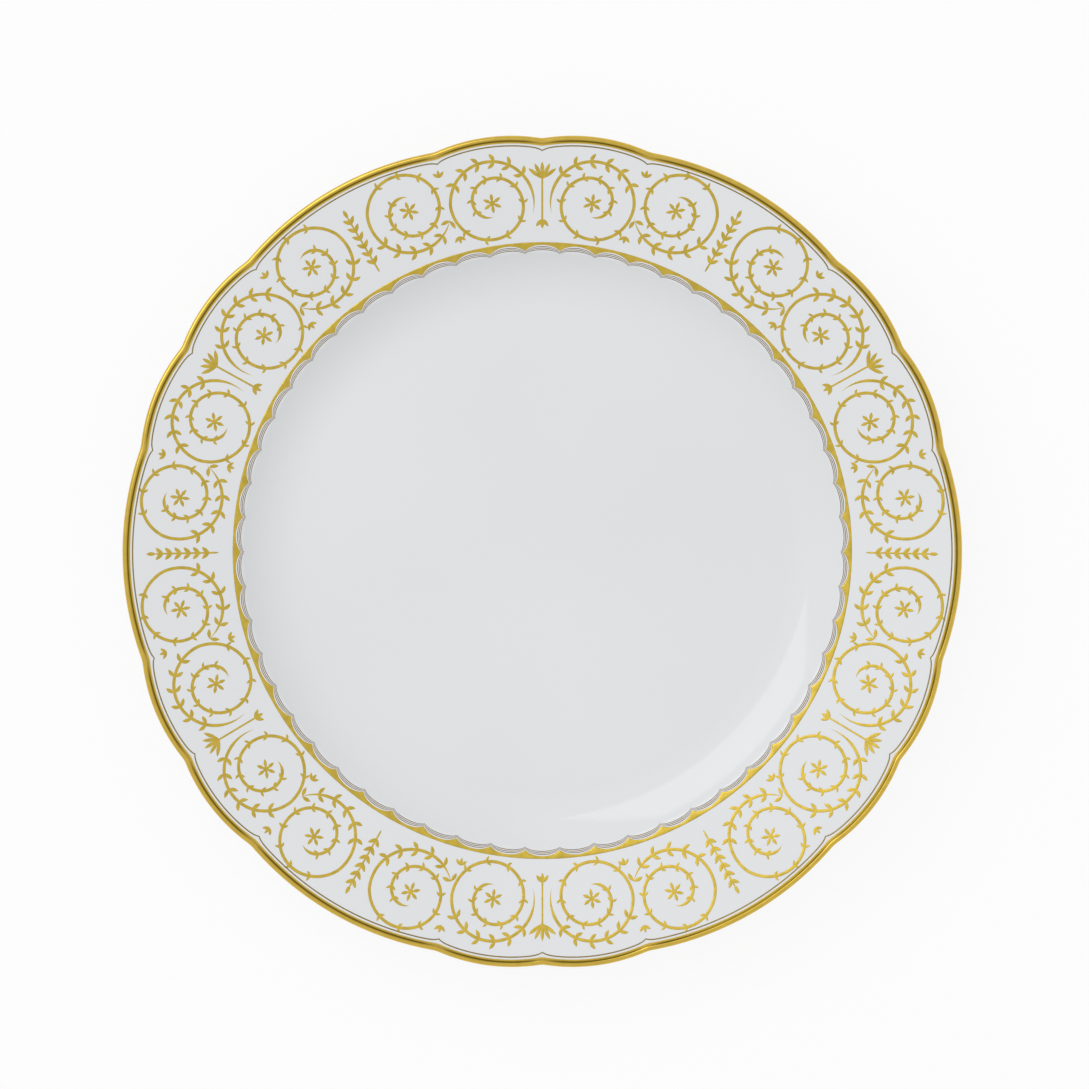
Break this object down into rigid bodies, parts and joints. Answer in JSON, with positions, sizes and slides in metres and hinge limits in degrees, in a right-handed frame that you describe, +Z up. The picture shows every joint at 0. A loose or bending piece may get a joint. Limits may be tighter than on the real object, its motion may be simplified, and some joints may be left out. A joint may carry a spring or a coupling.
{
  "type": "dinner plate",
  "caption": "Round china dinner plate with a gently scalloped gilt edge, a sunk well on a foot ring and gold scroll ornament round the rim.",
  "frame": {"origin": "centre of the foot ring, in the plane it rests on", "axes": "+Z up out of the well, +Y towards the side of the first ornament panel on the rim"},
  "size_m": [0.2702, 0.2688, 0.0224],
  "materials": {
    "china": "fired bone china, matt where bare",
    "glaze": "glossy clear glaze over white china",
    "gilding": "burnished gold",
    "gold_print": "satin fired gold",
    "brown_line": "thin satin fired gold, brownish"
  },
  "bodies": {
    "root": {"china_body": "china", "glaze_coat": "glaze", "gilt_edge": "gilding", "gilt_hairline": "gold_print", "verge_band": "gold_print", "verge_line_1": "brown_line", "verge_line_2": "brown_line", "verge_line_3": "brown_line", "scroll_1": "gold_print", "scroll_2": "gold_print", "scroll_3": "gold_print", "scroll_4": "gold_print", "scroll_5": "gold_print", "scroll_6": "gold_print", "rosettes_1": "gold_print", "rosettes_2": "gold_print", "rosettes_3": "gold_print", "rosettes_4": "gold_print", "rosettes_5": "gold_print", "rosettes_6": "gold_print", "laurel_sprig_1": "gold_print", "laurel_sprig_2": "gold_print", "laurel_sprig_3": "gold_print", "laurel_sprig_4": "gold_print", "laurel_sprig_5": "gold_print", "laurel_sprig_6": "gold_print", "leaf_fan_1": "gold_print", "leaf_fan_2": "gold_print", "leaf_fan_3": "gold_print", "leaf_fan_4": "gold_print", "leaf_fan_5": "gold_print", "leaf_fan_6": "gold_print"}
  },
  "joints": []
}
